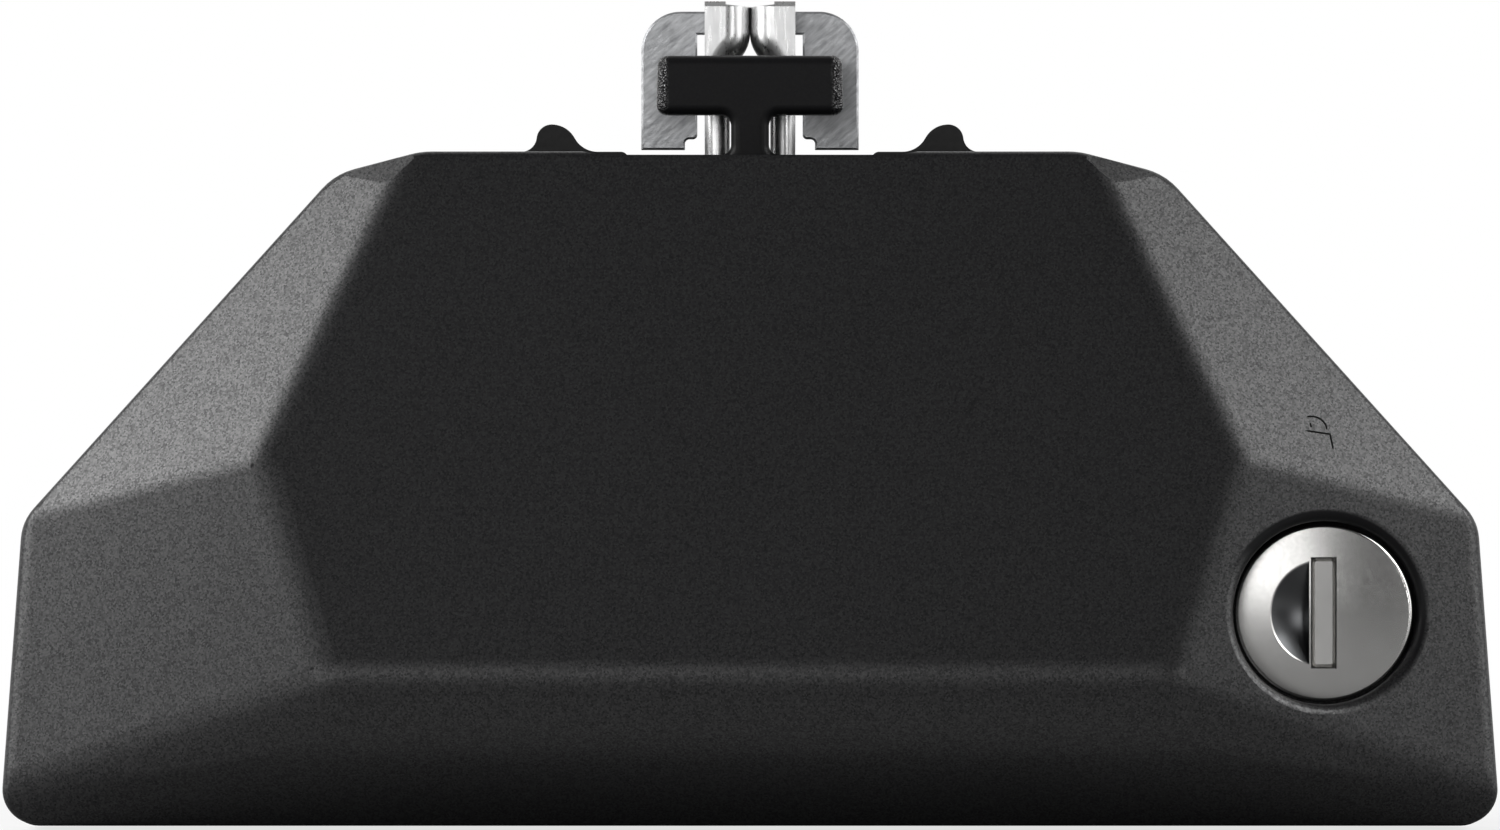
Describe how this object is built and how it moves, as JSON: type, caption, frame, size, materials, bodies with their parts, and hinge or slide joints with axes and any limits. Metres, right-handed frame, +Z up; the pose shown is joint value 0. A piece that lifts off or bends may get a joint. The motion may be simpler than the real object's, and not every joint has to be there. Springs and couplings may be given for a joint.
{
  "type": "roof bar foot",
  "caption": "Faceted lockable roof bar foot: moulded cover and housing, steel hook and yoke on a tension screw that clamp a bar by its underside slot.",
  "frame": {"origin": "centre of the footprint box, on the surface that the foot stands on", "axes": "+X to the right of the faceted front, along the vehicle; +Y back from the cover, along the bar; +Z up"},
  "size_m": [0.18, 0.084, 0.0997],
  "materials": {
    "cover_plastic": "moulded black polyamide, fine spark-eroded grain",
    "housing_plastic": "moulded black glass-filled polyamide",
    "guide_plastic": "moulded black polyamide, coarse grain",
    "saddle_rubber": "moulded black rubber",
    "lock_nickel": "satin nickel plate",
    "zinc_cast": "die-cast zinc",
    "zinc_steel": "zinc plated sheet steel",
    "hook_steel": "polished folded steel",
    "bright_steel": "zinc plated turned steel",
    "spring_steel": "blued spring steel"
  },
  "bodies": {
    "foot": {"foot_housing": "housing_plastic", "steel_frame": "zinc_steel", "frame_screws": "bright_steel", "thrust_plate": "zinc_steel", "thrust_washer": "bright_steel", "saddle_pad_left": "saddle_rubber", "saddle_pad_right": "saddle_rubber", "slot_guide": "guide_plastic", "guide_screw": "bright_steel"},
    "cover": {"front_cover": "cover_plastic", "lock_sleeve": "zinc_cast", "sleeve_clip": "spring_steel"},
    "lock": {"lock_plug": "lock_nickel", "lock_cam": "zinc_steel", "cam_screw": "zinc_steel", "shutter_spring": "spring_steel"},
    "shutter": {"key_shutter": "lock_nickel"},
    "screw": {"tension_screw": "bright_steel", "screw_clip": "spring_steel"},
    "block": {"draw_block": "zinc_cast"},
    "hook": {"hook_half_left": "hook_steel", "hook_half_right": "hook_steel", "yoke_plate": "zinc_steel", "cross_pin": "bright_steel", "pin_clips": "spring_steel"}
  },
  "joints": [
    {"name": "cover_swing", "type": "hinge", "parent": "foot", "child": "cover", "pos_m": [-0.0876, -0.0182, 0.02], "axis": [0, 0, -1], "range_deg": [0, 30]},
    {"name": "lock_turn", "type": "hinge", "parent": "cover", "child": "lock", "pos_m": [0.06903, -0.02987, 0.0258], "axis": [0, -1, 0], "range_deg": [0, 90]},
    {"name": "shutter_push", "type": "slide", "parent": "lock", "child": "shutter", "axis": [0, 1, 0], "range_m": [0, 0.006], "stiffness_N_per_m": 60, "springref_m": -0.002, "deforming": ["shutter_spring"]},
    {"name": "screw_turn", "type": "hinge", "parent": "foot", "child": "screw", "pos_m": [0, -0.012, 0.031], "axis": [0, -1, 0], "range_deg": [0, 1728]},
    {"name": "block_draw", "type": "slide", "parent": "foot", "child": "block", "axis": [0, 1, 0], "range_m": [0, 0.006]},
    {"name": "hook_lift", "type": "slide", "parent": "foot", "child": "hook", "axis": [0, 0, 1], "range_m": [0, 0.006]}
  ],
  "couplings": [
    {"joint": "screw_turn", "follows": "block_draw", "rad_per_m": 5026.5},
    {"joint": "hook_lift", "follows": "block_draw", "ratio": 1}
  ]
}
